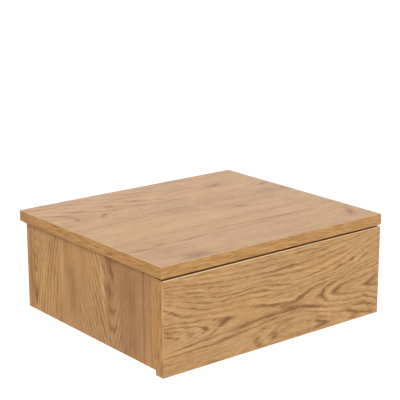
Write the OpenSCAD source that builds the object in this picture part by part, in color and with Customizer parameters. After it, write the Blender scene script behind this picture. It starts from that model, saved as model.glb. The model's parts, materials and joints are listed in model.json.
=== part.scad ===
// Floating nightstand: a shallow wall-hung cabinet with one full-width drawer.
// Origin: centre of the four wall screw holes, on the wall plane.
// +X is to the right seen from the front, +Y goes into the wall, +Z is up.
// The drawer opens along -Y. Sizes are in millimetres.

/* [Cabinet] */
// Width of the top panel
width = 370; // [340:1:520]
// Depth from the wall to the face of the drawer front
depth = 320; // [290:1:420]
// Height from the underside to the top face
height = 140; // [130:1:220]
// Thickness of the cabinet boards and of the drawer front
board = 15; // [14:0.5:19]
// How far the side panels stand in from the ends of the top panel
side_inset = 10; // [2:0.5:20]

/* [Edge banding] */
// Thickness of the strips glued to the board edges
band = 1; // [0.8:0.1:2]
// Radius that breaks the corners of the strips
arris = 0.7; // [0.3:0.1:0.8]

/* [Drawer front] */
// Shadow gap between the top panel and the drawer front
front_gap = 2.5; // [1.5:0.5:5]
// How far the drawer front stops short of the top panel at each end
front_reveal = 1; // [0:0.5:3]
// Room between the drawer front and the front edges of the cabinet
front_clearance = 2; // [1.5:0.1:3]
// Diameter of the felt dots that the drawer front closes against
bumper_d = 9; // [6:0.5:12]
// Room left between a felt dot and the side panel's edge
bumper_play = 0.3; // [0.3:0.1:0.6]
// Distance of the felt dots from the upper and lower edges of the drawer front
bumper_from_edge = 12; // [8:0.5:16]

/* [Drawer box] */
// Thickness of the drawer's sides and back
drawer_board = 12; // [12:0.5:15]
// Room between the cabinet floor and the drawer box
drawer_lift = 12; // [8:0.5:16]
// Room between the drawer box and the top panel
drawer_headroom = 18; // [10:0.5:24]
// How far the drawer's sides run on behind the runners
drawer_tail = 10; // [6:0.5:14]
// Thickness of the drawer bottom
bottom_t = 3; // [3:0.5:5]
// Depth of the groove that holds the drawer bottom
groove_depth = 6; // [4:0.5:7]
// Height of that groove above the lower edge of the drawer's sides
groove_up = 10; // [8:0.5:14]

/* [Runners] */
// Standard runners come in multiples of this length
runner_step = 50; // [25:25:50]
// Least room between a runner's rear end and the back panel
runner_rear_room = 20; // [15:1:30]
// Thickness of a closed runner
runner_t = 12.7; // [12.2:0.1:14]
// Height of a runner
runner_h = 45; // [42:1:50]
// Distance from the side panel's front edge to the runner
runner_setback = 2; // [1:0.5:4]
// Distance from a runner's ends to its outermost screws
runner_screw_from_end = 35; // [32:1:40]
// Thickness of the runner's sheet steel
steel = 1.2; // [1:0.1:1.3]
// Thickness of the ball cages
cage_t = 0.5; // [0.4:0.1:0.6]
// Air between the nested webs of a runner
web_air = 0.4; // [0.35:0.05:0.5]
// Room between the flange edges and the drawer's side
flange_air = 1.5; // [1.3:0.1:1.8]
// Diameter of the balls
ball_d = 4; // [3.6:0.1:4.2]
// How far a ball sinks into each raceway
ball_bite = 0.2; // [0.15:0.05:0.25]
// Play between a ball and its raceway or its hole in the cage
ball_play = 0.1; // [0.05:0.01:0.1]
// Balls in each row
balls_per_row = 6; // [4:1:8]
// How far a cage stops short of half the runner's length
cage_short = 15; // [10:1:25]

/* [Release levers] */
// Distance from the runner's front end to the lever's rivet
lever_pivot_y = 100; // [95:1:104]
// Length of the finger arm in front of the rivet
lever_arm = 42; // [30:1:48]
// Length of the nose behind the rivet
lever_nose = 20; // [14:1:22]
// Thickness of the lever
lever_t = 4; // [3:0.5:4.5]
// Height of the lever's arm
lever_h = 6; // [5:0.5:7]
// Diameter of the rivet
rivet_d = 3; // [2.5:0.5:4]
// Play between the rivet and the lever
rivet_play = 0.05; // [0.03:0.01:0.08]
// Width of the ring around the rivet
lever_hub_rim = 2.5; // [2:0.1:3]

/* [Fittings] */
// Diameter of the cam locks
cam_d = 15; // [12:0.5:15]
// Board left under a cam lock
cam_floor = 1.5; // [1:0.1:1.8]
// Distance from a joint to the middle of its cam lock
cam_reach = 24; // [20:0.5:28]
// Diameter of the cam bolt's neck
bolt_neck_d = 4.8; // [4:0.1:5]
// Diameter of the cam bolt's head
bolt_head_d = 6.4; // [5.6:0.1:6.4]
// Diameter of the channel that the cam bolt enters
bolt_channel_d = 7.2; // [7:0.1:7.4]
// Diameter of the cam bolt's threaded end
bolt_thread_d = 5; // [4:0.1:6]
// Length of the cam bolt's threaded end
bolt_thread_l = 11; // [8:0.5:11.5]
// Diameter of the cabinet dowels
dowel_d = 8; // [6:1:8]
// Length of a dowel inside the face of a board
dowel_in_face = 10; // [8:0.5:11]
// Length of a dowel inside the end of a board
dowel_in_end = 20; // [14:0.5:24]
// Diameter of the drawer dowels
drawer_dowel_d = 6; // [5:0.5:7]
// Length of a drawer dowel inside the end of a drawer side
drawer_dowel_in_end = 15; // [12:0.5:18]
// Distance of the upper drawer dowels from the upper edges of the drawer's sides
drawer_dowel_from_top = 10; // [8:0.5:12]
// Distance of the lower drawer dowels from the lower edges of the drawer's sides
drawer_dowel_from_base = 24; // [22:0.5:26]
// Height of the drawer's cam bolts above the middle of the runners
drawer_bolt_rise = 4; // [2:0.5:6]
// Diameter of the runner screws
screw_d = 3.5; // [3:0.1:4]
// Diameter of a runner screw's head
screw_head_d = 6.6; // [6:0.1:7]
// Length of the screws that hold the runners
screw_l = 12; // [8:0.5:12]
// Length of the screws that hold the drawer's back
back_screw_l = 35; // [25:1:40]
// Distance of those screws from the upper and lower edges of the drawer's back
back_screw_from_edge = 11; // [9:0.5:14]
// Play around screws, bolts and dowels
fit = 0.1; // [0.05:0.05:0.2]
// Distance from the cabinet's front edges to the front cam bolts
bolt_from_front = 43; // [35:1:60]
// Distance from the wall to the rear cam bolts
bolt_from_wall = 50; // [44:1:70]
// Distance from the cabinet's front edges to the front dowels
dowel_from_front = 18; // [10:1:24]
// Distance from the wall to the rear dowels
dowel_from_wall = 26; // [22:1:32]
// Distance of the back panel's dowels from its ends
back_dowel_from_end = 88; // [60:1:110]

/* [Wall fixing] */
// Diameter of the wall screw holes in the back panel
wall_hole_d = 6; // [5:0.5:8]
// Distance from the holes to the ends of the back panel
wall_hole_from_end = 40; // [35:1:80]
// Distance from the holes to the upper and lower edges of the back panel
wall_hole_from_edge = 25; // [18:1:40]

/* [Hidden] */
$fn = 48;
// Overshoot that lets a cut pass a face
over = 1;

// Colours as the photograph shows them
oak_top = [0.80, 0.66, 0.53];
oak_front = [0.76, 0.60, 0.41];
oak_side = [0.66, 0.49, 0.34];
oak_band = [0.75, 0.56, 0.35];
board_pale = [0.82, 0.78, 0.72];
hardboard = [0.72, 0.66, 0.58];
zinc = [0.75, 0.75, 0.76];
galvanised = [0.68, 0.69, 0.70];
bright_steel = [0.82, 0.82, 0.84];
beech = [0.84, 0.70, 0.50];
black_plastic = [0.10, 0.10, 0.11];
felt_grey = [0.62, 0.60, 0.57];

// Cabinet planes
top_z = height / 2;
base_z = -height / 2;
slab_under = top_z - board;
floor_z = base_z + board;
face_y = -depth;
front_back_y = face_y + board;
carcass_y = front_back_y + front_clearance;
side_out = width / 2 - side_inset;
side_in = side_out - board;
front_half = width / 2 - front_reveal;
front_top_z = slab_under - front_gap;

// Runner length: the longest standard one that fits in the cabinet
runner_y = carcass_y + runner_setback;
runner_l = floor((-board - runner_rear_room - runner_y) / runner_step) * runner_step;
cage_l = runner_l / 2 - cage_short;
cage_y = (runner_l - cage_l) / 2;

// Drawer box planes
drawer_out = side_in - runner_t;
drawer_in = drawer_out - drawer_board;
drawer_lo = floor_z + drawer_lift;
drawer_hi = slab_under - drawer_headroom;
drawer_rear_y = runner_y + runner_l + drawer_tail;
groove_z = drawer_lo + groove_up;
bottom_top = groove_z + bottom_t;
runner_z = (drawer_lo + drawer_hi) / 2;

// Small sizes inside a runner
lip_air = 0.3;
lip_h = 1;
cage_rim = 0.5;
stop_half = 8;
stop_play = 0.3;
lever_air = 0.3;
rivet_head_t = 0.8;
rivet_head_rim = 1;
rivet_head_air = 0.2;

// Runner section: x from the cabinet side, z from the runner's middle
row_gap = ball_d - 2 * ball_bite;
ball_r = ball_d / 2;
outer_in = runner_h / 2 - steel;
middle_out = outer_in - row_gap;
middle_in = middle_out - steel;
inner_out = middle_in - row_gap;
inner_in = inner_out - steel;
outer_row = outer_in - row_gap / 2;
inner_row = middle_in - row_gap / 2;
outer_cage_x = steel + web_air;
middle_x = outer_cage_x + cage_t + web_air;
inner_cage_x = middle_x + steel + web_air;
inner_tip_x = inner_cage_x + cage_t + web_air;
flange_x = runner_t - flange_air;
ball_x = (inner_tip_x + flange_x) / 2;
lip_x = ball_x + ball_r + lip_air;
cage_tip_x = ball_x + ball_r + cage_rim;
moving_l = runner_l - steel - stop_play;

// Screw places, from the runner's front end: the middle one on the inner member stands behind the lever
last_screw_y = runner_l - runner_screw_from_end;
outer_screw_y = [runner_screw_from_end, runner_l / 2, last_screw_y];
inner_screw_y = [runner_screw_from_end, (lever_pivot_y + lever_nose + last_screw_y) / 2, last_screw_y];

// Small sizes of the fittings
screw_head_h = 1.5;
screw_tip = 2.5;
recess_depth = 0.8;
bolt_head_l = 3;
bolt_collar_l = 2;
bolt_tip = 0.5;
bolt_end_room = 2;
turn_slot = 1.6;
dowel_chamfer = 0.8;
bottom_slack = 0.3;

// Shares of a size
pan_crown_share = 0.7;
recess_length_share = 0.55;
recess_width_share = 0.12;
turn_slot_share = 0.56;
nose_share = 0.6;
bottom_screw_share = 0.75;

// Places of the joint fittings
bolt_y = [carcass_y + bolt_from_front, -bolt_from_wall];
dowel_y = [carcass_y + dowel_from_front, -dowel_from_wall];
back_dowel_x = side_in - back_dowel_from_end;
drawer_bolt_z = runner_z + drawer_bolt_rise;
drawer_dowel_z = [drawer_lo + drawer_dowel_from_base, drawer_hi - drawer_dowel_from_top];
back_screw_z = [bottom_top + back_screw_from_edge, drawer_hi - back_screw_from_edge];
bottom_screw_x = drawer_in * bottom_screw_share;
bumper_z = [base_z + bumper_from_edge, front_top_z - bumper_from_edge];

// A rectangle with its four corners rounded by true arcs
module rounded_rect(lo, hi, r) {
    difference() {
        translate(lo) square(hi - lo);
        for (i = [0, 1], j = [0, 1])
            translate([i == 0 ? lo[0] : hi[0], j == 0 ? lo[1] : hi[1]])
                mirror([i, 0]) mirror([0, j]) difference() {
                    translate([-over, -over]) square(r + over);
                    translate([r, r]) circle(r);
                }
    }
}

// Extrudes an X-Z outline from y0 to y1
module along_y(y0, y1) {
    translate([0, y1, 0]) rotate([90, 0, 0]) linear_extrude(y1 - y0) children();
}

// Extrudes a Y-Z outline from x0 to x1
module along_x(x0, x1) {
    translate([x0, 0, 0]) rotate([90, 0, 90]) linear_extrude(x1 - x0) children();
}

// A box given by two opposite corners
module block(lo, hi) {
    translate(lo) cube(hi - lo);
}

// A box whose edges are all rounded
module soft_block(lo, hi, r) {
    intersection() {
        translate([0, 0, lo[2]]) linear_extrude(hi[2] - lo[2])
            rounded_rect([lo[0], lo[1]], [hi[0], hi[1]], r);
        along_y(lo[1], hi[1]) rounded_rect([lo[0], lo[2]], [hi[0], hi[2]], r);
        along_x(lo[0], hi[0]) rounded_rect([lo[1], lo[2]], [hi[1], hi[2]], r);
    }
}

// The part of a rounded board that lies between two corners
module strip(board_lo, board_hi, lo, hi) {
    intersection() {
        soft_block(board_lo, board_hi, arris);
        block(lo, hi);
    }
}

// Countersunk screw along +X, its head flush with x = 0
module flat_screw(l) {
    r = screw_d / 2;
    head_r = screw_head_d / 2;
    difference() {
        rotate([0, 90, 0]) rotate_extrude()
            polygon([[0, 0], [head_r, 0], [r, head_r - r], [r, l - screw_tip], [0, l]]);
        cross_recess();
    }
}

// Hole for a countersunk screw, with its head flush with x = 0
module flat_screw_hole(l) {
    r = screw_d / 2 + fit;
    head_r = screw_head_d / 2 + fit;
    rotate([0, 90, 0]) rotate_extrude()
        polygon([[0, -over], [head_r, -over], [head_r, 0], [r, head_r - r], [r, l + fit], [0, l + fit]]);
}

// Pan head screw along +X, its head standing in front of x = 0
module pan_screw(l) {
    r = screw_d / 2;
    head_r = screw_head_d / 2;
    difference() {
        rotate([0, 90, 0]) rotate_extrude()
            polygon([[0, -screw_head_h], [head_r * pan_crown_share, -screw_head_h],
                     [head_r, -screw_head_h / 2], [head_r, 0], [r, 0], [r, l - screw_tip], [0, l]]);
        translate([-screw_head_h, 0, 0]) cross_recess();
    }
}

// Straight hole for a screw along +X
module screw_pilot(l) {
    translate([-over, 0, 0]) rotate([0, 90, 0]) cylinder(r = screw_d / 2 + fit, h = l + fit + over);
}

// Cross recess in a screw's head, opening towards -X
module cross_recess() {
    arm = screw_head_d * recess_length_share;
    slot = screw_head_d * recess_width_share;
    for (a = [0, 90])
        rotate([a, 0, 0]) translate([-over, -arm / 2, -slot / 2]) cube([over + recess_depth, arm, slot]);
}

// Cam bolt: threaded into the board at x < 0, its head in the cam lock at x = cam_reach
module cam_bolt() {
    neck_r = bolt_neck_d / 2;
    head_r = bolt_head_d / 2;
    head_start = cam_reach - bolt_head_l / 2;
    head_end = cam_reach + bolt_head_l / 2;
    rotate([0, 90, 0]) rotate_extrude()
        polygon([[0, -bolt_thread_l], [bolt_thread_d / 2, -bolt_thread_l], [bolt_thread_d / 2, 0],
                 [head_r, 0], [head_r, bolt_collar_l], [neck_r, bolt_collar_l],
                 [neck_r, head_start], [head_r, head_start],
                 [head_r, head_end - bolt_tip], [head_r - bolt_tip, head_end], [0, head_end]]);
}

// Hole for the cam bolt's threaded end
module cam_bolt_pilot() {
    translate([-bolt_thread_l - fit, 0, 0]) rotate([0, 90, 0])
        cylinder(r = bolt_thread_d / 2 + fit, h = bolt_thread_l + fit + over);
}

// Cam lock in a board of thickness t, opening at z = t / 2
module cam_lock(t) {
    slot_l = cam_d * turn_slot_share;
    difference() {
        translate([cam_reach, 0, cam_floor - t / 2 + fit])
            cylinder(d = cam_d, h = t - cam_floor - fit);
        rotate([0, 90, 0]) cylinder(d = bolt_channel_d, h = cam_reach + bolt_head_l / 2 + bolt_end_room);
        for (a = [45, 135])
            translate([cam_reach, 0, t / 2 - turn_slot]) rotate([0, 0, a])
                translate([-slot_l / 2, -turn_slot / 2, 0]) cube([slot_l, turn_slot, turn_slot + over]);
    }
}

// Holes for a cam lock and its bolt in a board of thickness t
module cam_lock_hole(t) {
    translate([cam_reach, 0, cam_floor - t / 2]) cylinder(r = cam_d / 2 + fit, h = t - cam_floor + over);
    translate([-over, 0, 0]) rotate([0, 90, 0]) cylinder(d = bolt_channel_d, h = cam_reach + over);
}

// Dowel across a joint at x = 0, from -in_face to in_end, with slightly broken ends
module dowel(d, in_face, in_end) {
    r = d / 2;
    end_r = r - dowel_chamfer;
    rotate([0, 90, 0]) rotate_extrude()
        polygon([[0, -in_face], [end_r, -in_face], [r, dowel_chamfer - in_face],
                 [r, in_end - dowel_chamfer], [end_r, in_end], [0, in_end]]);
}

// Hole for a dowel, a little deeper and wider than it
module dowel_hole(d, in_face, in_end) {
    translate([-in_face - 2 * fit, 0, 0]) rotate([0, 90, 0])
        cylinder(r = d / 2 + fit, h = in_face + in_end + 4 * fit);
}

// Draws children on the left and mirrored on the right
module both_sides() {
    children();
    mirror([1, 0, 0]) children();
}

// Joint frames on the left: +X runs out of the joint plane into the board that holds the cam lock
module at_top_joint(ys) {
    for (y = ys)
        translate([board / 2 - side_out, y, slab_under]) rotate([0, 90, 0]) children();
}
module at_bottom_joint(ys) {
    for (y = ys)
        translate([-side_in, y, base_z + board / 2]) children();
}
module at_back_joint() {
    translate([-side_in, -board / 2, 0]) rotate([90, 0, 0]) children();
}
module at_back_top_joint() {
    translate([-back_dowel_x, -board / 2, slab_under]) rotate([0, 90, 0]) children();
}
module at_back_floor_joint() {
    translate([-back_dowel_x, -board / 2, floor_z]) rotate([0, -90, 0]) children();
}
module at_drawer_joint(zs) {
    for (z = zs)
        translate([drawer_board / 2 - drawer_out, front_back_y, z]) rotate([90, 0, 90]) children();
}

// Runner frames: x from the cabinet side towards the drawer, y from the front end
module at_left_runner() {
    translate([-side_in, runner_y, runner_z]) children();
}
module at_right_runner() {
    translate([side_in, runner_y, runner_z]) rotate([0, 180, 0]) children();
}

// Screws that hold a runner to the cabinet and to the drawer, or the holes for them
module at_outer_screws() {
    for (y = outer_screw_y) translate([steel, y, 0]) rotate([0, 180, 0]) children();
}
module at_inner_screws() {
    for (y = inner_screw_y) translate([runner_t - steel, y, 0]) children();
}

// Top panel and its bands
top_lo = [-width / 2, face_y, slab_under];
top_hi = [width / 2, 0, top_z];
module top_band(lo, hi) {
    color(oak_band) strip(top_lo, top_hi + [0, over, 0], lo, hi);
}
module top_panel() {
    color(oak_top) difference() {
        block(top_lo + [band, band, 0], top_hi - [band, 0, 0]);
        both_sides() {
            at_top_joint(bolt_y) cam_bolt_pilot();
            at_top_joint(dowel_y) dowel_hole(dowel_d, dowel_in_face, dowel_in_end);
            at_back_top_joint() dowel_hole(dowel_d, dowel_in_face, dowel_in_end);
        }
    }
}
module top_front_band() {
    top_band(top_lo, [top_hi[0], top_lo[1] + band, top_hi[2]]);
}
module top_left_band() {
    top_band(top_lo + [0, band, 0], [top_lo[0] + band, top_hi[1], top_hi[2]]);
}
module top_right_band() {
    mirror([1, 0, 0]) top_left_band();
}

// Side panels: drawn on the left, mirrored for the right
side_lo = [-side_out, carcass_y, base_z];
side_hi = [-side_in, 0, slab_under];
module side_band(lo, hi) {
    color(oak_side) strip(side_lo, side_hi + [0, over, over], lo, hi);
}
module side_panel() {
    color(oak_side) difference() {
        block(side_lo + [0, band, band], side_hi);
        at_top_joint(bolt_y) cam_lock_hole(board);
        at_top_joint(dowel_y) dowel_hole(dowel_d, dowel_in_face, dowel_in_end);
        at_bottom_joint(bolt_y) cam_bolt_pilot();
        at_bottom_joint(dowel_y) dowel_hole(dowel_d, dowel_in_face, dowel_in_end);
        at_back_joint() cam_bolt_pilot();
        at_left_runner() at_outer_screws() flat_screw_hole(screw_l);
    }
}
module side_front_band() {
    side_band(side_lo, [side_hi[0], side_lo[1] + band, side_hi[2]]);
}
module side_bottom_band() {
    side_band(side_lo + [0, band, 0], [side_hi[0], side_hi[1], side_lo[2] + band]);
}
module left_side_panel() side_panel();
module left_side_front_band() side_front_band();
module left_side_bottom_band() side_bottom_band();
module right_side_panel() mirror([1, 0, 0]) side_panel();
module right_side_front_band() mirror([1, 0, 0]) side_front_band();
module right_side_bottom_band() mirror([1, 0, 0]) side_bottom_band();

// Bottom panel between the side panels, and the back panel that stands on it
floor_lo = [-side_in, carcass_y, base_z];
floor_hi = [side_in, 0, floor_z];
module bottom_panel() {
    color(oak_side) difference() {
        block(floor_lo + [0, band, 0], floor_hi);
        both_sides() {
            at_bottom_joint(bolt_y) cam_lock_hole(board);
            at_bottom_joint(dowel_y) dowel_hole(dowel_d, dowel_in_face, dowel_in_end);
            at_back_floor_joint() dowel_hole(dowel_d, dowel_in_face, dowel_in_end);
        }
    }
}
module bottom_front_band() {
    color(oak_band) strip(floor_lo - [over, 0, 0], floor_hi + [over, over, 0], floor_lo,
                          [floor_hi[0], floor_lo[1] + band, floor_hi[2]]);
}
module back_panel() {
    color(oak_side) difference() {
        block([-side_in, -board, floor_z], [side_in, 0, slab_under]);
        both_sides() {
            at_back_joint() cam_lock_hole(board);
            at_back_top_joint() dowel_hole(dowel_d, dowel_in_face, dowel_in_end);
            at_back_floor_joint() dowel_hole(dowel_d, dowel_in_face, dowel_in_end);
            wall_holes();
        }
    }
}
module wall_holes() {
    for (z = [floor_z + wall_hole_from_edge, slab_under - wall_hole_from_edge])
        translate([wall_hole_from_end - side_in, over, z]) rotate([90, 0, 0])
            cylinder(d = wall_hole_d, h = board + 2 * over);
}

// Cabinet fittings
module top_cam_bolts() {
    color(zinc) both_sides() at_top_joint(bolt_y) cam_bolt();
}
module top_cam_locks() {
    color(galvanised) both_sides() at_top_joint(bolt_y) cam_lock(board);
}
module bottom_cam_bolts() {
    color(zinc) both_sides() at_bottom_joint(bolt_y) cam_bolt();
}
module bottom_cam_locks() {
    color(galvanised) both_sides() at_bottom_joint(bolt_y) cam_lock(board);
}
module back_cam_bolts() {
    color(zinc) both_sides() at_back_joint() cam_bolt();
}
module back_cam_locks() {
    color(galvanised) both_sides() at_back_joint() cam_lock(board);
}
module cabinet_dowels() {
    color(beech) both_sides() {
        at_top_joint(dowel_y) dowel(dowel_d, dowel_in_face, dowel_in_end);
        at_bottom_joint(dowel_y) dowel(dowel_d, dowel_in_face, dowel_in_end);
        at_back_top_joint() dowel(dowel_d, dowel_in_face, dowel_in_end);
        at_back_floor_joint() dowel(dowel_d, dowel_in_face, dowel_in_end);
    }
}
module cabinet_runner_screws() {
    color(zinc) {
        at_left_runner() at_outer_screws() flat_screw(screw_l);
        at_right_runner() at_outer_screws() flat_screw(screw_l);
    }
}

// Runner sections, in the runner's frame
module raceways(row) {
    for (s = [-1, 1]) translate([ball_x, s * row]) circle(ball_r + ball_play);
}
// A channel of sheet thickness t between x0 and x1, open towards +X
module channel(x0, x1, half, t) {
    difference() {
        translate([x0, -half]) square([x1 - x0, 2 * half]);
        translate([x0 + t, t - half]) square([x1 - x0 - t + over, 2 * (half - t)]);
    }
}
// The same with lips that turn in at the flange edges, in the runner's own sheet
module lipped_channel(x0, half) {
    inner = half - steel;
    difference() {
        translate([x0, -half]) square([flange_x - x0, 2 * half]);
        translate([x0 + steel, -inner]) square([lip_x - x0 - steel, 2 * inner]);
        translate([x0 + steel, lip_h - inner]) square([flange_x - x0, 2 * (inner - lip_h)]);
    }
}
module runner_outer() {
    color(bright_steel) {
        difference() {
            along_y(0, runner_l) difference() {
                lipped_channel(0, runner_h / 2);
                raceways(outer_row);
            }
            at_outer_screws() flat_screw_hole(screw_l);
        }
        // Rear stop, bent across the channel
        block([steel, runner_l - steel, -stop_half], [flange_x, runner_l, stop_half]);
    }
}
module runner_middle() {
    color(bright_steel) along_y(0, moving_l) difference() {
        lipped_channel(middle_x, middle_out);
        raceways(outer_row);
        raceways(inner_row);
    }
}
module runner_inner() {
    web_x = runner_t - steel;
    color(bright_steel) difference() {
        along_y(0, moving_l) difference() {
            translate([runner_t + inner_tip_x, 0]) mirror([1, 0])
                channel(inner_tip_x, runner_t, inner_out, steel);
            raceways(inner_row);
        }
        at_inner_screws() screw_pilot(screw_l);
        translate([web_x - over, lever_pivot_y, 0]) rotate([0, 90, 0])
            cylinder(r = rivet_d / 2 + rivet_play, h = steel + 2 * over);
    }
}

// Ball cage: a U of thin sheet with a hole for each ball, and the balls in it
module at_balls(row) {
    pitch = cage_l / balls_per_row;
    for (s = [-1, 1], i = [0 : balls_per_row - 1])
        translate([ball_x, cage_y + (i + 0.5) * pitch, s * row]) children();
}
module ball_cage(web_x, row) {
    reach = row + cage_t / 2;
    color(galvanised) difference() {
        along_y(cage_y, cage_y + cage_l) channel(web_x, cage_tip_x, reach, cage_t);
        at_balls(row) translate([0, 0, -cage_t]) cylinder(r = ball_r + ball_play, h = 2 * cage_t);
    }
}
module balls(row) {
    color(bright_steel) at_balls(row) sphere(r = ball_r);
}

// Release lever on the inner member, and its rivet
lever_back_x = runner_t - steel - lever_air;
lever_front_x = lever_back_x - lever_t;
module release_lever() {
    hub_r = rivet_d / 2 + lever_hub_rim;
    tip_r = lever_h / 2;
    nose_h = lever_h * nose_share;
    color(black_plastic) along_x(lever_front_x, lever_back_x) difference() {
        union() {
            translate([lever_pivot_y, 0]) circle(hub_r);
            translate([lever_pivot_y - lever_arm + tip_r, -tip_r]) square([lever_arm - tip_r, lever_h]);
            translate([lever_pivot_y - lever_arm + tip_r, 0]) circle(tip_r);
            translate([lever_pivot_y, -nose_h / 2]) square([lever_nose, nose_h]);
        }
        translate([lever_pivot_y, 0]) circle(rivet_d / 2 + rivet_play);
    }
}
module lever_rivet() {
    head_x = lever_front_x - rivet_head_air - rivet_head_t;
    color(zinc) translate([head_x, lever_pivot_y, 0]) rotate([0, 90, 0]) {
        cylinder(r = rivet_d / 2 + rivet_head_rim, h = rivet_head_t);
        cylinder(d = rivet_d, h = runner_t - head_x);
    }
}

module left_runner_outer() at_left_runner() runner_outer();
module left_runner_middle() at_left_runner() runner_middle();
module left_runner_inner() at_left_runner() runner_inner();
module left_outer_cage() at_left_runner() ball_cage(outer_cage_x, outer_row);
module left_outer_balls() at_left_runner() balls(outer_row);
module left_inner_cage() at_left_runner() ball_cage(inner_cage_x, inner_row);
module left_inner_balls() at_left_runner() balls(inner_row);
module left_release_lever() at_left_runner() release_lever();
module left_lever_rivet() at_left_runner() lever_rivet();
module right_runner_outer() at_right_runner() runner_outer();
module right_runner_middle() at_right_runner() runner_middle();
module right_runner_inner() at_right_runner() runner_inner();
module right_outer_cage() at_right_runner() ball_cage(outer_cage_x, outer_row);
module right_outer_balls() at_right_runner() balls(outer_row);
module right_inner_cage() at_right_runner() ball_cage(inner_cage_x, inner_row);
module right_inner_balls() at_right_runner() balls(inner_row);
module right_release_lever() at_right_runner() release_lever();
module right_lever_rivet() at_right_runner() lever_rivet();

// Drawer front with bands on all four edges
front_lo = [-front_half, face_y, base_z];
front_hi = [front_half, front_back_y, front_top_z];
module front_band(lo, hi) {
    color(oak_band) strip(front_lo, front_hi, lo, hi);
}
module drawer_front() {
    color(oak_front) difference() {
        block(front_lo + [band, 0, band], front_hi - [band, 0, band]);
        groove_block();
        both_sides() {
            at_drawer_joint([drawer_bolt_z]) cam_bolt_pilot();
            at_drawer_joint(drawer_dowel_z) dowel_hole(drawer_dowel_d, dowel_in_face, drawer_dowel_in_end);
        }
    }
}
module drawer_front_top_band() {
    front_band([front_lo[0], front_lo[1], front_hi[2] - band], front_hi);
}
module drawer_front_bottom_band() {
    front_band(front_lo, [front_hi[0], front_hi[1], front_lo[2] + band]);
}
module drawer_front_left_band() {
    front_band(front_lo + [0, 0, band], [front_lo[0] + band, front_hi[1], front_hi[2] - band]);
}
module drawer_front_right_band() {
    mirror([1, 0, 0]) drawer_front_left_band();
}

// The groove for the drawer bottom, as one block through the sides and into the front
module groove_block() {
    block([-drawer_in - groove_depth, front_back_y - groove_depth, groove_z],
          [drawer_in + groove_depth, drawer_rear_y + over, bottom_top + fit]);
}

// Drawer sides: drawn on the left, mirrored for the right
module drawer_side() {
    color(board_pale) difference() {
        block([-drawer_out, front_back_y, drawer_lo], [-drawer_in, drawer_rear_y, drawer_hi - band]);
        groove_block();
        at_drawer_joint([drawer_bolt_z]) cam_lock_hole(drawer_board);
        at_drawer_joint(drawer_dowel_z) dowel_hole(drawer_dowel_d, dowel_in_face, drawer_dowel_in_end);
        at_back_screws() flat_screw_hole(back_screw_l);
        at_left_runner() at_inner_screws() screw_pilot(screw_l);
    }
}
module drawer_side_band() {
    color(board_pale) block([-drawer_out, front_back_y, drawer_hi - band],
                            [-drawer_in, drawer_rear_y, drawer_hi]);
}
module drawer_left_side() drawer_side();
module drawer_left_side_band() drawer_side_band();
module drawer_right_side() mirror([1, 0, 0]) drawer_side();
module drawer_right_side_band() mirror([1, 0, 0]) drawer_side_band();

// Screws through the drawer's sides into the ends of its back
module at_back_screws() {
    for (z = back_screw_z)
        translate([-drawer_out, drawer_rear_y - drawer_board / 2, z]) children();
}
// Screws up through the drawer bottom into the back
module at_bottom_screws() {
    for (x = [-bottom_screw_x, 0, bottom_screw_x])
        translate([x, drawer_rear_y - drawer_board / 2, groove_z]) rotate([0, -90, 0]) children();
}
module drawer_back() {
    color(board_pale) difference() {
        block([-drawer_in, drawer_rear_y - drawer_board, bottom_top],
              [drawer_in, drawer_rear_y, drawer_hi - band]);
        both_sides() at_back_screws() flat_screw_hole(back_screw_l);
        at_bottom_screws() screw_pilot(screw_l);
    }
}
module drawer_back_band() {
    color(board_pale) block([-drawer_in, drawer_rear_y - drawer_board, drawer_hi - band],
                            [drawer_in, drawer_rear_y, drawer_hi]);
}
module drawer_bottom() {
    reach = drawer_in + groove_depth - bottom_slack;
    color(hardboard) difference() {
        block([-reach, front_back_y - groove_depth + bottom_slack, groove_z],
              [reach, drawer_rear_y, bottom_top]);
        at_bottom_screws() screw_pilot(screw_l);
    }
}

// Drawer fittings
module drawer_cam_bolts() {
    color(zinc) both_sides() at_drawer_joint([drawer_bolt_z]) cam_bolt();
}
module drawer_cam_locks() {
    color(galvanised) both_sides() at_drawer_joint([drawer_bolt_z]) cam_lock(drawer_board);
}
module drawer_dowels() {
    color(beech) both_sides() at_drawer_joint(drawer_dowel_z)
        dowel(drawer_dowel_d, dowel_in_face, drawer_dowel_in_end);
}
module drawer_runner_screws() {
    color(zinc) {
        at_left_runner() at_inner_screws() pan_screw(screw_l);
        at_right_runner() at_inner_screws() pan_screw(screw_l);
    }
}
module drawer_back_screws() {
    color(zinc) both_sides() at_back_screws() flat_screw(back_screw_l);
}
module drawer_bottom_screws() {
    color(zinc) at_bottom_screws() pan_screw(screw_l);
}
module drawer_bumpers() {
    color(felt_grey) both_sides() for (z = bumper_z)
        translate([board / 2 - side_out, front_back_y, z]) rotate([-90, 0, 0])
            cylinder(d = bumper_d, h = front_clearance - bumper_play);
}

top_panel();
top_front_band();
top_left_band();
top_right_band();
left_side_panel();
left_side_front_band();
left_side_bottom_band();
right_side_panel();
right_side_front_band();
right_side_bottom_band();
bottom_panel();
bottom_front_band();
back_panel();
top_cam_bolts();
top_cam_locks();
bottom_cam_bolts();
bottom_cam_locks();
back_cam_bolts();
back_cam_locks();
cabinet_dowels();
cabinet_runner_screws();
left_runner_outer();
left_runner_middle();
left_runner_inner();
left_outer_cage();
left_outer_balls();
left_inner_cage();
left_inner_balls();
left_release_lever();
left_lever_rivet();
right_runner_outer();
right_runner_middle();
right_runner_inner();
right_outer_cage();
right_outer_balls();
right_inner_cage();
right_inner_balls();
right_release_lever();
right_lever_rivet();
drawer_front();
drawer_front_top_band();
drawer_front_bottom_band();
drawer_front_left_band();
drawer_front_right_band();
drawer_left_side();
drawer_left_side_band();
drawer_right_side();
drawer_right_side_band();
drawer_back();
drawer_back_band();
drawer_bottom();
drawer_cam_bolts();
drawer_cam_locks();
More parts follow.
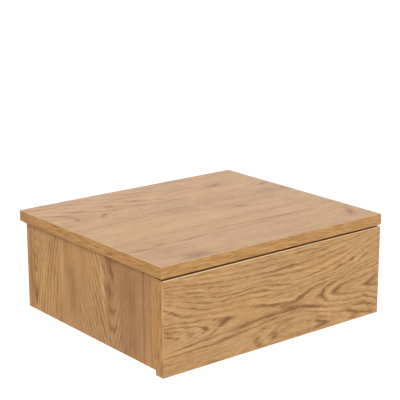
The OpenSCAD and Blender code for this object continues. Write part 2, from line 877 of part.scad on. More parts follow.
drawer_dowels();
drawer_runner_screws();
drawer_back_screws();
drawer_bottom_screws();
drawer_bumpers();
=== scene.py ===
"""Floating nightstand in oak-effect board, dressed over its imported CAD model."""

import json
import math
from typing import NamedTuple

import bpy
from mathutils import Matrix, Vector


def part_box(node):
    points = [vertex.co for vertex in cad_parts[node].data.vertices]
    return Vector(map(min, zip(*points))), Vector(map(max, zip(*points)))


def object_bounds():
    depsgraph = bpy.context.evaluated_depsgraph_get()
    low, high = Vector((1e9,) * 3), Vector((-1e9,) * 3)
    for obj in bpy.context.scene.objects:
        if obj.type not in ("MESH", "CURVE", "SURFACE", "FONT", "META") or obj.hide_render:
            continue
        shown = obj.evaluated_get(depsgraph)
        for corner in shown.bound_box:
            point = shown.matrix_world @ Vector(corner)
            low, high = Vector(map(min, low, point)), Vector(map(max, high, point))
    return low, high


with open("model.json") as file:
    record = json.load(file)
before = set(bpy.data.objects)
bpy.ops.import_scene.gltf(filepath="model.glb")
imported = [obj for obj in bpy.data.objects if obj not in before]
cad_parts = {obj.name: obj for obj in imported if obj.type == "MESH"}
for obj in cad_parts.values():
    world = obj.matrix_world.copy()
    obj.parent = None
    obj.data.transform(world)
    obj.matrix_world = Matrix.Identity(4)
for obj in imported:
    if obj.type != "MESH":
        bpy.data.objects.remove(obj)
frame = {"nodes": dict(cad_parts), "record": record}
nodes = frame["nodes"]
cad_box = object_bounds()

# Shaders and sizes are in millimetres here, and Blender is in metres
MM = 1000.0


def low_corner(node):
    """The lowest corner of a CAD node, in millimetres."""
    return [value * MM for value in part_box(node)[0]]


TOP_LOW = low_corner("top_panel")
FRONT_LOW = low_corner("drawer_front")
# Half the height of the cabinet, whose middle is at z = 0
HALF_HEIGHT = cad_box[1][2] * MM


# Shader building

# A new curve has two points already
NEW_CURVE_POINTS = 2
# The Mix node has sockets of one name for each kind of data, so its colour sockets are picked by place
MIX_A = 6
MIX_B = 7
MIX_RESULT = 2


class Value:
    """A shader output, so that formulas of shader values read as formulas."""

    def __init__(self, shade, socket):
        self.shade = shade
        self.socket = socket

    def __add__(self, other):
        return self.shade.math("ADD", self, other)

    def __sub__(self, other):
        return self.shade.math("SUBTRACT", self, other)

    def __mul__(self, other):
        return self.shade.math("MULTIPLY", self, other)

    def __truediv__(self, other):
        return self.shade.math("DIVIDE", self, other)

    def __rsub__(self, other):
        return self.shade.math("SUBTRACT", other, self)

    def __neg__(self):
        return 0.0 - self

    __radd__ = __add__
    __rmul__ = __mul__


class Shade:
    """One material and its nodes. x, y and z are the object's own coordinates in millimetres, at has them
    by name, facing says how squarely the surface faces each axis, and up how much it looks upwards."""

    def __init__(self, name):
        self.material = bpy.data.materials.new(name)
        self.material.use_nodes = True
        self.tree = self.material.node_tree
        self.tree.nodes.clear()
        coords = self.tree.nodes.new("ShaderNodeTexCoord")
        self.x, self.y, self.z = (v * MM for v in self.split(coords.outputs["Object"]))
        self.at = {"x": self.x, "y": self.y, "z": self.z}
        normal = self.split(coords.outputs["Normal"])
        self.facing = {axis: self.math("ABSOLUTE", part) for axis, part in zip("xyz", normal)}
        self.up = normal[2]

    def node(self, kind, inputs, **settings):
        """Adds a node. An input is a number, a colour, a socket or a Value."""
        new = self.tree.nodes.new("ShaderNode" + kind)
        for key, value in settings.items():
            setattr(new, key, value)
        for key, value in inputs.items():
            if isinstance(value, Value):
                value = value.socket
            if isinstance(value, bpy.types.NodeSocket):
                self.tree.links.new(value, new.inputs[key])
            else:
                new.inputs[key].default_value = value
        return new

    def split(self, vector):
        """The three parts of a vector."""
        return [Value(self, out) for out in self.node("SeparateXYZ", {"Vector": vector}).outputs]

    def math(self, operation, a, b=0.0, c=0.0):
        """The result of a Math node."""
        return Value(self, self.node("Math", {0: a, 1: b, 2: c}, operation=operation).outputs[0])

    def clamp(self, value):
        """The value, kept from 0 to 1."""
        return Value(self, self.node("Clamp", {"Value": value}).outputs[0])

    def step(self, value, start, end):
        """0 below start, 1 above end, smooth between. A start above end turns it round."""
        if start > end:
            return 1.0 - self.step(value, end, start)
        inputs = {"Value": value, "From Min": start, "From Max": end}
        return Value(self, self.node("MapRange", inputs, interpolation_type="SMOOTHSTEP").outputs[0])

    def noise(self, x, y, z, detail, roughness=0.5):
        """Smooth noise about 0, from about -1 to 1, with features one unit wide."""
        vector = self.node("CombineXYZ", {0: x, 1: y, 2: z}).outputs[0]
        inputs = {"Vector": vector, "Scale": 1.0, "Detail": detail, "Roughness": roughness}
        return (Value(self, self.node("TexNoise", inputs).outputs["Fac"]) - 0.5) * 2.0

    def curve(self, value, points):
        """A smooth curve through given (input, output) points."""
        low, high = (end(p[0] for p in points) for end in (min, max))
        bottom, top = (end(p[1] for p in points) for end in (min, max))
        node = self.node("FloatCurve", {"Value": (value - low) / (high - low)})
        line = node.mapping.curves[0]
        for i, (x, y) in enumerate(points):
            spot = ((x - low) / (high - low), (y - bottom) / (top - bottom))
            if i < NEW_CURVE_POINTS:
                line.points[i].location = spot
            else:
                line.points.new(*spot)
        node.mapping.use_clip = False
        node.mapping.update()
        return Value(self, node.outputs[0]) * (top - bottom) + bottom

    def spots(self, x, y, places):
        """Soft strokes, given one by one (x, y, half length, half width, slope, strength), summed."""
        total = 0.0
        for at_x, at_y, length, width, slope, strength in places:
            off_x = x - at_x
            dx = off_x / length
            dy = (y - at_y - off_x * slope) / width
            total = total + strength * self.math("EXPONENT", -(dx * dx + dy * dy))
        return total

    def ramp(self, value, stops):
        """Colours along a value, from (place, colour) stops."""
        node = self.node("ValToRGB", {"Fac": value})
        bar = node.color_ramp.elements
        while len(bar) < len(stops):
            bar.new(0.5)
        for element, (place, colour) in zip(bar, stops):
            element.position = place
            element.color = (*colour, 1.0)
        return node.outputs["Color"]

    def mix(self, amount, a, b, blend="MIX"):
        """Colour a turning into colour b."""
        node = self.node("Mix", {"Factor": amount}, data_type="RGBA", blend_type=blend)
        for key, colour in ((MIX_A, a), (MIX_B, b)):
            if isinstance(colour, bpy.types.NodeSocket):
                self.tree.links.new(colour, node.inputs[key])
            else:
                node.inputs[key].default_value = (*colour, 1.0)
        return node.outputs[MIX_RESULT]

    def finish(self, colour, roughness, height=None, depth=0.0, **sockets):
        """The shader itself, with a bump of the given depth in millimetres."""
        inputs = {"Base Color": colour, "Roughness": roughness, **sockets}
        if not isinstance(colour, bpy.types.NodeSocket):
            inputs["Base Color"] = (*colour, 1.0)
        if height is not None:
            bump = self.node("Bump", {"Height": height, "Strength": 1.0, "Distance": depth / MM})
            inputs["Normal"] = bump.outputs[0]
        shader = self.node("BsdfPrincipled", inputs)
        output = self.tree.nodes.new("ShaderNodeOutputMaterial")
        self.tree.links.new(shader.outputs[0], output.inputs["Surface"])
        return self.material


def at_least(share, value):
    """A value from 0 to 1, squeezed so that it goes from share to 1."""
    return share + value * (1.0 - share)


def srgb(red, green, blue):
    """A colour given as 0 to 255, as the shader's linear numbers, by the sRGB standard's formula."""
    def linear(value):
        value /= 255.0
        return value / 12.92 if value <= 0.04045 else ((value + 0.055) / 1.055) ** 2.4
    return tuple(linear(value) for value in (red, green, blue))


def tinted(stops, tint):
    """Colour stops multiplied by a tint."""
    return [(place, tuple(c * t for c, t in zip(colour, tint))) for place, colour in stops]


# Oak colours

OAK_RAMP = [(0.0, srgb(214, 173, 117)), (0.35, srgb(192, 147, 92)), (0.7, srgb(152, 106, 62)),
            (1.0, srgb(131, 88, 52))]
FRONT_TINT = (0.726, 0.743, 0.833)
# The top's tint is paler and bluer than the front's on the same oak: painted sheen and painted light for
# the top
TOP_TINT_AND_SHEEN = (0.838, 0.906, 1.241)
SIDE_TINT = (0.722, 0.693, 0.72)
BAND_TINT = (0.761, 0.748, 0.721)
SLAB_END_TINT = (0.805, 0.76, 0.66)
END_TINT = (0.79, 0.735, 0.655)
# A slow change from a bluer to a yellower wood, which multiplies the colour
HUE_RAMP = [(0.0, (0.99, 1.0, 1.08)), (1.0, (1.01, 1.0, 0.90))]
CHIP_RAMP = [(0.25, srgb(112, 82, 52)), (0.45, srgb(168, 136, 96)), (0.75, srgb(192, 164, 124))]
# Pale core of the edge strips' milled corners, partly a painted highlight, as it goes only on corners
# that look up
BAND_CORE_AND_HIGHLIGHT = srgb(228, 200, 168)
# Painted shade for the edge strips' corners that look down
BAND_UNDER_SHADE = srgb(96, 62, 34)
GLOSS = {"Specular IOR Level": 0.15}


# Growth rings

# Millimetres between the rings of a plain arch
RING_PITCH = 8.0
# How pointed the arches are: 1 is a wedge, 2 a round arch
ARCH_POWER = 1.12

# A growth ring from its pale start to its dark end, with a thin line midway
RING_PROFILE = [(0.0, 0.55), (0.07, 0.15), (0.20, 0.0), (0.34, 0.08), (0.44, 0.26), (0.52, 0.18),
                (0.64, 0.42), (0.78, 0.92), (0.88, 1.0), (0.95, 0.85), (1.0, 0.55)]

# The front's growth lines, drawn in millimetres along and above the lower edge. The heart line
# # runs through the tips of the arches, and the lines follow it upwards and downwards
FRONT_HEART = [(0, 45), (25, 44), (45, 44), (67, 46), (92, 50), (109, 51.5), (150, 50), (180, 47.5),
               (207, 45.5), (240, 47.5), (257, 47.5), (277, 47), (300, 47), (342, 45), (368, 46)]
# The ring number along the heart line, and on the first line to either side of it
FRONT_HEART_RING = [(0, -3.8), (23, -3), (45, -2), (67, -1), (109, 0), (150, 0.5), (207, 0.75),
                    (240, 0.4), (257, 0), (277, -1), (300, -1.4), (342, -2), (368, -2.4)]
FRONT_ARM_RING = [(0, 0), (100, 0), (120, 0.25), (150, 0.6), (207, 0.85), (235, 0.6), (250, 0.1),
                  (260, 0), (368, 0)]
FRONT_UPPER = [
    [(0, 66), (20, 64), (40, 61), (60, 59.5), (80, 57), (100, 53.8), (109, 52.8), (150, 52.3),
     (180, 49.8), (207, 47.3), (230, 51), (250, 50), (257, 50), (262, 54), (270, 59), (280, 61),
     (300, 64), (320, 66.5), (345, 68.5), (368, 73)],
    [(0, 86), (10, 81), (20, 76), (30, 71), (45, 68), (60, 66), (80, 65), (100, 64), (120, 63.5),
     (140, 60), (150, 58), (165, 55), (180, 52), (195, 50.5), (207, 50), (218, 53), (228, 57),
     (240, 61), (255, 64), (270, 65.5), (280, 66), (300, 68), (320, 70), (345, 73), (368, 78)],
    [(0, 92), (10, 89.5), (22, 86), (32, 82.5), (42, 79), (50, 76), (60, 73.5), (70, 72.2), (90, 72),
     (120, 71), (150, 69), (170, 66.5), (190, 65), (207, 65), (230, 67.5), (250, 69), (270, 70),
     (300, 71.5), (320, 73.5), (345, 77.5), (368, 84)],
    [(0, 97), (20, 92.5), (35, 88), (50, 84), (60, 81), (75, 78.5), (90, 77), (110, 77.5), (130, 78),
     (150, 77.5), (160, 76), (170, 73), (180, 71.2), (195, 70), (210, 70.3), (230, 71.8), (255, 73),
     (278, 74), (298, 75.5), (318, 79), (338, 86), (350, 89.5), (368, 95)],
    [(0, 101), (30, 96.5), (50, 91.5), (60, 89), (70, 86.5), (80, 84.5), (90, 83.3), (100, 83),
     (120, 84), (140, 84), (160, 83), (170, 81), (180, 79), (190, 76.7), (200, 74.7), (212, 74),
     (238, 75), (258, 76.5), (278, 79), (298, 82.5), (308, 85), (318, 88), (332, 94), (350, 100),
     (368, 106)],
    [(0, 105), (20, 101.5), (40, 98), (60, 94.5), (75, 91), (90, 88.5), (110, 87.5), (130, 87.5),
     (150, 88), (165, 87.5), (180, 84), (195, 82), (208, 80), (220, 79), (240, 79.5), (255, 82),
     (268, 85), (285, 88), (298, 91), (308, 94), (330, 103), (345, 108), (368, 114)],
    [(0, 109), (40, 104), (70, 99), (100, 95), (150, 93), (190, 91), (212, 90), (228, 90.5),
     (258, 93.5), (278, 97), (300, 101), (320, 105.5), (345, 113), (368, 120)],
    [(0, 113), (40, 108.5), (70, 104), (110, 101), (150, 100), (190, 99), (228, 100), (258, 102),
     (298, 107), (330, 113), (368, 126)],
    [(0, 118), (60, 112), (110, 108.5), (160, 107), (228, 107.5), (280, 112), (340, 120), (368, 132)],
    [(0, 123), (60, 118), (110, 115.5), (160, 114.5), (228, 115), (280, 119), (340, 127), (368, 138)]]
FRONT_LOWER = [
    [(0, 32), (20, 34), (40, 36), (60, 36.8), (70, 38), (80, 42), (92, 46.5), (109, 50), (150, 47),
     (207, 43), (245, 45), (254, 45), (260, 43), (268, 38.5), (278, 35), (288, 33), (298, 31),
     (308, 30), (338, 29.5), (348, 26), (358, 22), (368, 19)],
    [(0, 28), (20, 30), (40, 31.5), (60, 33), (80, 34), (100, 34), (120, 35.5), (140, 37.5),
     (160, 38), (178, 38.5), (208, 38.5), (228, 37.5), (238, 35.5), (248, 33.5), (258, 31),
     (268, 29), (288, 26.5), (318, 22.5), (338, 19), (348, 16), (368, 8)],
    [(0, 23), (20, 23), (40, 24.5), (60, 23.5), (80, 25), (100, 26.5), (120, 28.5), (140, 30),
     (160, 33), (178, 34), (208, 34), (228, 32), (248, 26), (268, 22), (288, 17), (308, 14),
     (318, 11), (338, 5), (368, -5)],
    [(0, 13), (100, 16), (150, 22), (208, 28), (268, 14), (318, 2), (368, -15)]]
# The closed arch at the lower edge: the height of its middle line, and the cut's distance from the heart
FRONT_LOW_AXIS = [(0, -12), (120, 0), (150, 4), (180, 9), (217, 11), (255, 9), (300, 3), (368, -6)]
FRONT_LOW_DEPTH = [(0, 60), (120, 42), (148, 34), (178, 26), (200, 21), (217, 19.5), (245, 21),
                   (272, 26), (300, 30), (335, 34), (368, 40)]
# Millimetres between rings beyond the last drawn line
FRONT_BEYOND = 7.0
# How slowly the first ring grows away from the heart line
FRONT_ONSET = 1.5
# The first ring numbers of the drawn lines and of the closed arch, and the rings over which they blend
FRONT_FIRST_RING = 10.88
FRONT_LOW_FIRST_RING = 9.62
FRONT_BLEND = 0.6

# The side's ring number by the distance from the wall, at the lower edge
SIDE_RINGS = [(0, 4.6), (8, 3.2), (11, 1.8), (14, 1.0), (17, 0.4), (21, 0.0), (25, 0.4), (28, 1.0),
              (32, 1.8), (38, 2.7), (50, 4.2), (64, 5.9), (77, 7.3), (95, 8.6), (125, 8.4), (150, 6.0),
              (175, 3.1), (190, 1.3), (203, 0.0), (214, 1.0), (225, 2.4), (240, 4.0), (270, 6.6),
              (303, 9.4)]
# Rings that the narrow arch gains with height, and where each of the two arches reaches
SIDE_NARROW = [(-70, -0.25), (-57, 0.13), (-13, 1.13), (5, 2.13), (18, 3.13), (30, 4.13), (55, 6.2)]
SIDE_NARROW_SHARE = [(0, 0.6), (8, 0.9), (21, 1.0), (32, 0.95), (45, 0.7), (60, 0.55), (77, 0.4),
                     (95, 0.0), (303, 0.0)]
SIDE_WIDE_SHARE = [(0, 0.0), (110, 0.0), (125, 0.6), (150, 1.25), (175, 1.25), (190, 1.1), (203, 1.0),
                   (215, 1.05), (228, 0.8), (245, 0.2), (265, 0.0), (303, 0.0)]
# Millimetres of height in which the wide arch gains a ring
SIDE_WIDE_PITCH = 22.0
# The number from which the side's rings are counted
SIDE_FIRST_RING = 20.0

# The top's and the plain boards' arch: the distance from its middle line, or that line's place, and
# the cut's distance from the heart
TOP_RISE = [(0, -36), (50, -15), (84, 0), (100, 19), (140, 68), (320, 288)]
TOP_DEPTH = [(0, 8), (37, 16), (83, 26), (160, 40), (240, 50), (370, 64)]
PLAIN_AXIS = [(0, 120), (180, 140), (370, 150)]
PLAIN_DEPTH = [(0, 6), (120, 22), (240, 30), (370, 60)]


def valley(s, rise, depth):
    """Ring number where a flat cut meets a trunk: arches close where the cut's depth reaches a ring.
    rise is the distance from the arches' middle line and depth the cut's distance from the trunk's
    middle, both in millimetres."""
    total = s.math("POWER", s.math("ABSOLUTE", rise), ARCH_POWER) + s.math("POWER", depth, ARCH_POWER)
    return s.math("POWER", total, 1.0 / ARCH_POWER) / RING_PITCH


def arms(s, along, across, turn, drawn, heart, heart_ring, arm_ring):
    """How much the ring number grows from the heart line outwards, to one side. turn is 1 for the upper
    side and -1 for the lower."""
    lines = [s.curve(along, points) for points in drawn]
    pairs = list(zip([heart] + lines, lines))
    shares = [s.clamp((across - near) / (far - near)) for near, far in pairs]
    first = s.math("POWER", shares[0], FRONT_ONSET)
    total = (arm_ring - heart_ring) * first + (1.0 - arm_ring) * shares[1]
    for share in shares[2:]:
        total = total + share
    return total + s.math("MAXIMUM", (across - lines[-1]) * turn / FRONT_BEYOND, 0.0)


def front_rings(s, along, across):
    """Two arches that face each other across a saddle, with a closed one at the lower edge and long lines
    above, which sag in the middle."""
    heart = s.curve(along, FRONT_HEART)
    heart_ring = s.curve(along, FRONT_HEART_RING)
    arm_ring = s.curve(along, FRONT_ARM_RING)
    main = heart_ring + FRONT_FIRST_RING
    for turn, drawn in ((1.0, FRONT_UPPER), (-1.0, FRONT_LOWER)):
        main = main + arms(s, along, across, turn, drawn, heart, heart_ring, arm_ring)
    low = valley(s, across - s.curve(along, FRONT_LOW_AXIS), s.curve(along, FRONT_LOW_DEPTH))
    return s.math("SMOOTH_MIN", main, low + FRONT_LOW_FIRST_RING, FRONT_BLEND)


def side_rings(s, along, across):
    """A narrow arch near the wall and a wide one two thirds of the way to the front. along is the
    height, across the distance from the wall."""
    rings = s.curve(across, SIDE_RINGS)
    narrow = s.curve(along, SIDE_NARROW)
    narrow_share = s.curve(across, SIDE_NARROW_SHARE)
    wide = (along + HALF_HEIGHT) / SIDE_WIDE_PITCH
    wide_share = s.curve(across, SIDE_WIDE_SHARE)
    return rings - narrow * narrow_share - wide * wide_share + SIDE_FIRST_RING


def top_rings(s, along, across):
    """One long faint arch near the wall. across is the distance from the wall."""
    return valley(s, s.curve(across, TOP_RISE), s.curve(along, TOP_DEPTH))


def plain_rings(s, along, across):
    """One arch along the middle of a board that the photograph doesn't show."""
    return valley(s, across - s.curve(along, PLAIN_AXIS), s.curve(along, PLAIN_DEPTH))


# Oak boards

class Layer(NamedTuple):
    """A layer of the grain's noise: how long and how wide its marks are in millimetres, where it lies in
    the noise, and how fine and how rough it is. A layer that follows the rings has its width in rings."""
    length: float
    width: float
    seed: float
    detail: float = 1.0
    roughness: float = 0.5


# The layers by length, width and place in the noise
DRIFT = Layer(80.0, 26.0, 0.0)
RIPPLE = Layer(22.0, 6.0, 3.0)
LONG_FEATHER = Layer(40.0, 2.2, 31.0)
SHORT_FEATHER = Layer(14.0, 0.8, 33.0)
FUZZ = Layer(9.0, 1.3, 35.0)
UNEVEN = Layer(26.0, 4.0, 7.0)
STREAKS = Layer(110.0, 5.0, 11.0, detail=3.0, roughness=0.6)
FIBRES = Layer(15.0, 1.4, 13.0, detail=3.0, roughness=0.75)
CLOUDS = Layer(70.0, 24.0, 17.0)
PORES = Layer(5.0, 0.35, 21.0)
HUES = Layer(120.0, 40.0, 41.0)
# These follow the rings, with 0.9, 3.5 and 2 marks to a ring
RING_FADE = Layer(70.0, 1 / 0.9, 5.0)
RING_LINES = Layer(60.0, 1 / 3.5, 9.0, detail=3.0, roughness=0.65)
PORE_ROWS = Layer(30.0, 1 / 2, 25.0, detail=2.0)

# How many millimetres the layers pull the rings along the grain and push them across it
LONG_PULL = 6.0
SHORT_PULL = 2.0
RIPPLE_PUSH = 1.6
FUZZ_PUSH = 0.7
PATCH_PUSH = 2.0
# The share of the push that stays where feathers is 0, and how uneven the rings' steps are, in rings
STEADY_PUSH = 0.3
UNEVEN_RINGS = 0.25
# The noise values from which a layer starts and fully shows
FADE_EDGE = (-0.65, 0.6)
PORE_EDGE = (0.12, 0.34)
PORE_ROW_EDGE = (-0.4, 0.3)
# The part of the ring profile that leaves the tone as it is, and the share of rings left where they fade
RING_LEVEL = 0.35
FADED_RINGS = 0.1
# The share of lines and streaks left in the quiet places
CALM_LINES = 0.4
CALM_STREAKS = 0.5
# Tones go from 0, pale, to 1, dark, and hues from 0, bluer, to 1, yellower
OAK_TONE = 0.38
CLOUD_TONE = 0.14
PORE_TONE = 0.14
HUE_MIDDLE = 0.5
HUE_SPREAD = 0.8
# How squarely a surface has to face the boards' axis to be laminated, and not raw chipboard
LAMINATE_EDGE = (0.4, 0.6)
CHIPS_PER_MM = (0.45, 0.45, 1.1)
CHIP_DETAIL = 4.0
CHIP_HARSHNESS = 0.75
CHIP_MIDDLE = 0.5
CHIP_CONTRAST = 0.9
# The bump's depth in millimetres, and the height of each of its parts, as a share of that depth
OAK_DEPTH = 0.04
FIBRE_HEIGHT = 0.5
RING_HEIGHT = 0.4
CHIP_HEIGHT = 6.0
OAK_ROUGHNESS = 0.56
FIBRE_ROUGHNESS = 0.07
PORE_ROUGHNESS = 0.12
CHIP_ROUGHNESS = 0.9


def grain_noise(s, along, across, seed):
    """A function that gives the noise of a grain layer on a board. beside is across, or what the layer
    follows instead."""
    def grain(layer, beside=across):
        return s.noise(along / layer.length, beside / layer.width, seed + layer.seed,
                       layer.detail, layer.roughness)
    return grain


def speckle(s, per_mm, detail, roughness=0.5):
    """Noise with so many marks per millimetre along x, y and z."""
    return s.noise(*(place * count for place, count in zip((s.x, s.y, s.z), per_mm)), detail, roughness)


def oak(name, ring_count, along, across, face, seed, rings=0.66, flow=0.30, streaks=0.12, fibres=0.34,
        feathers=1.0, broken=0.8, gaps=1.0, wander=3.5, patches=(), calm=(), warm=(), tint=FRONT_TINT):
    """Oak-effect laminate on chipboard. along and across pick the grain's directions from the shade
    and face is the axis that the two laminated faces point along. rings, flow, streaks and fibres are
    the strengths of the grain's parts. feathers, broken and gaps say how much fibres pull and break
    the rings and how much of them fades away, wander how many millimetres they stray, patches are
    darker strokes, calm the quiet places and warm the yellower ones."""
    s = Shade(name)
    a, c = along(s), across(s)
    grain = grain_noise(s, a, c, seed)
    ripple = grain(RIPPLE)
    feather = (grain(LONG_FEATHER) * LONG_PULL + grain(SHORT_FEATHER) * SHORT_PULL) * feathers
    waver = (ripple * RIPPLE_PUSH + grain(FUZZ) * FUZZ_PUSH) * at_least(STEADY_PUSH, feathers)
    place = ring_count(s, a + feather, c + grain(DRIFT) * wander + waver) + seed
    ring = s.curve(s.math("FRACT", place + grain(UNEVEN) * UNEVEN_RINGS), RING_PROFILE)
    quiet = 1.0 - s.clamp(s.spots(a, c, calm))
    shown = at_least(1.0 - gaps, s.step(grain(RING_FADE, place), *FADE_EDGE)) * quiet
    lines = grain(RING_LINES, place)
    long_streaks = grain(STREAKS, c + ripple)
    short_fibres = grain(FIBRES, c + ripple)
    pores = s.step(grain(PORES), *PORE_EDGE) * s.step(grain(PORE_ROWS, place), *PORE_ROW_EDGE)
    dark = ((ring * (1.0 + short_fibres * broken) - RING_LEVEL) * at_least(FADED_RINGS, shown) * rings
            + lines * at_least(CALM_LINES, quiet) * flow
            + long_streaks * at_least(CALM_STREAKS, quiet) * streaks
            + short_fibres * fibres + grain(CLOUDS) * CLOUD_TONE + pores * PORE_TONE)
    dark = s.clamp(dark + s.spots(a + feather, c + ripple * PATCH_PUSH, patches) + OAK_TONE)
    hue = s.clamp(grain(HUES) * HUE_SPREAD + s.spots(a, c, warm) + HUE_MIDDLE)
    colour = s.mix(1.0, s.ramp(dark, tinted(OAK_RAMP, tint)), s.ramp(hue, HUE_RAMP), "MULTIPLY")

    flat = s.step(s.facing[face], *LAMINATE_EDGE)
    chips = speckle(s, CHIPS_PER_MM, CHIP_DETAIL, CHIP_HARSHNESS)
    raw = s.ramp(s.clamp(chips * CHIP_CONTRAST + CHIP_MIDDLE), CHIP_RAMP)
    height = ((short_fibres * FIBRE_HEIGHT - pores - ring * RING_HEIGHT) * flat
              + chips * (1.0 - flat) * CHIP_HEIGHT)
    rough = ((OAK_ROUGHNESS + short_fibres * FIBRE_ROUGHNESS + pores * PORE_ROUGHNESS) * flat
             + CHIP_ROUGHNESS * (1.0 - flat))
    return s.finish(s.mix(flat, raw, colour), rough, height, OAK_DEPTH, **GLOSS)


# Edge strips

BAND_WAVES = Layer(40.0, 9.0, 2.0)
BAND_STREAKS = Layer(38.0, 1.9, 0.0, detail=3.0, roughness=0.7)
BAND_FIBRES = Layer(16.0, 0.8, 4.0, detail=2.0)
# Millimetres across for each millimetre along, and how far the waves push the streaks
BAND_SLANT = 0.06
BAND_PUSH = 2.0
BAND_TONE = 0.46
BAND_STREAK_TONE = 0.62
BAND_FIBRE_TONE = 0.58
BAND_WAVE_TONE = 0.12
# Parts of the surface's normal: the largest one where a milled corner starts and where it is full, and
# the one along the strip where its end starts and where the end is left behind
CORNER_EDGE = (0.985, 0.93)
STRIP_END_EDGE = (0.3, 0.1)
# How much a corner looks up where its painted shade starts to darken it and where it is dark, and over
# how much
# # its pale core and painted highlight start
# Painted shade on the corners that look down starts and is full at these values
UNDER_SHADE_EDGE = (-0.15, -0.4)
CORE_AND_HIGHLIGHT_SOFTNESS = 0.3
BAND_ROUGHNESS = 0.55
BAND_DEPTH = 0.02


def oak_band(name, axis, seed, core_and_highlight, lowest=-0.3, under=0.0, tint=BAND_TINT):
    """Edge strip along an axis: fine grain that slants a little on its flat face, and a paler core,
    strong or faint, on the milled corners along its length, unless they look down more than lowest;
    this pale core is partly the strip's own milled core and partly a painted highlight, as it keeps to
    the corners that look up. under is how dark the painted shade is on the corners that look down."""
    s = Shade(name)
    a = s.at[axis]
    c = s.x + s.y + s.z - a + a * BAND_SLANT
    grain = grain_noise(s, a, c, seed)
    wave = grain(BAND_WAVES)
    streaks = grain(BAND_STREAKS, c + wave * BAND_PUSH)
    fibres = grain(BAND_FIBRES)
    dark = s.clamp(BAND_TONE + streaks * BAND_STREAK_TONE + fibres * BAND_FIBRE_TONE
                   + wave * BAND_WAVE_TONE)
    colour = s.ramp(dark, tinted(OAK_RAMP, tint))
    straight = s.math("MAXIMUM", s.math("MAXIMUM", s.facing["x"], s.facing["y"]), s.facing["z"])
    corner = s.step(straight, *CORNER_EDGE) * s.step(s.facing[axis], *STRIP_END_EDGE)
    # Pale core on the milled corners, partly a painted highlight, kept off the corners that look down
    colour = s.mix(corner * s.step(s.up, lowest, lowest + CORE_AND_HIGHLIGHT_SOFTNESS) * core_and_highlight, colour, BAND_CORE_AND_HIGHLIGHT)
    # Painted shade on the corners that look down
    colour = s.mix(corner * s.step(s.up, *UNDER_SHADE_EDGE) * under, colour, BAND_UNDER_SHADE)
    return s.finish(colour, BAND_ROUGHNESS + fibres * FIBRE_ROUGHNESS, fibres, BAND_DEPTH, **GLOSS)


# The boards' own directions

def from_left(s):
    """Distance from the top panel's left edge."""
    return s.x - TOP_LOW[0]


def from_front_left(s):
    """Distance from the drawer front's left edge."""
    return s.x - FRONT_LOW[0]


def from_lower_edge(s):
    """Height above the drawer front's lower edge."""
    return s.z - FRONT_LOW[2]


def above_middle(s):
    """Height above the cabinet's middle."""
    return s.z


def from_wall(s):
    """Distance from the wall."""
    return -s.y


# Strokes of the grain in millimetres: place along and across the board, half length, half width,
# slope, and how much darker, quieter or yellower it is there
FRONT_PATCHES = [
    (208, 44, 17, 5, 0.0, 0.30), (164, 55, 18, 3.2, -0.2, 0.22), (228, 56, 9, 4, 0.3, 0.22),
    (88, 51, 13, 4.5, 0.2, 0.14), (70, 33.5, 40, 1.4, 0.03, 0.14), (290, 81.5, 16, 1.6, 0.1, 0.22),
    (215, 37, 26, 2.5, -0.05, 0.10), (126, 35.5, 20, 2.8, 0.1, 0.30), (94, 49, 9, 3.8, 0.3, 0.38),
    (101, 52, 9, 1.8, 0.0, 0.34), (75, 39, 9, 2.2, 0.4, 0.26), (64, 47, 4, 4, 0.0, 0.26),
    (50, 24, 60, 1.2, 0.01, 0.20), (105, 27.5, 30, 1.4, 0.1, 0.22), (48, 32, 34, 1.4, 0.05, 0.16),
    (40, 45, 6, 2.5, -0.2, 0.22), (21, 45, 4, 3.5, 0.5, 0.18), (6, 55, 9, 4, -0.4, 0.22),
    (7, 72, 8, 3, -0.3, 0.20), (4, 46, 5, 2.5, 0.0, 0.18), (78, 2, 9, 2.5, 0.0, 0.24),
    (148, 9, 7, 8, -0.6, 0.30), (176, 11, 8, 7, 0.3, 0.34), (176, 35, 10, 2.5, 0.1, 0.20),
    (160, 76, 8, 1.8, -0.15, 0.22), (60, 74, 10, 1.6, -0.2, 0.20), (46, 78, 5, 1.4, -0.3, 0.22),
    (262, 52, 5, 6, 0.8, 0.26), (261, 44, 5, 3, -0.5, 0.20), (271, 59, 6, 1.6, 0.2, 0.22),
    (287, 48, 9, 4, 0.3, 0.30), (294, 54.5, 9, 2.2, 0.35, 0.30), (303, 41, 7, 2, -0.1, 0.24),
    (346, 45, 5, 6, -0.6, 0.22), (356, 53, 12, 3, 0.5, 0.34), (314, 87, 9, 2.4, 0.3, 0.26),
    (336, 86, 9, 2, 0.4, 0.22), (256, 14, 8, 5, -0.5, 0.30), (268, 6, 14, 3, 0.0, 0.26),
    (316, 12, 10, 4, -0.5, 0.30), (320, 4, 8, 4, 0.0, 0.22), (350, 13, 9, 4, -0.6, 0.24),
    (352, 5, 7, 4, 0.0, 0.20), (243, 35, 14, 1.8, -0.15, 0.22), (346, 28, 8, 2, -0.4, 0.22),
    (55, 106, 30, 2.5, -0.06, 0.16), (208, 101, 40, 1.5, 0.05, 0.16), (180, 96, 26, 1.2, 0.0, 0.12)]
FRONT_CALM = [(60, 6, 85, 11, 0.06, 1.3), (118, 18, 28, 7, 0.15, 1.1), (130, 50, 22, 7, 0.0, 0.9),
              (245, 50, 8, 8, 0.0, 0.8), (320, 50, 22, 5, 0.0, 0.5), (184, 116, 400, 10, 0.0, 0.5)]
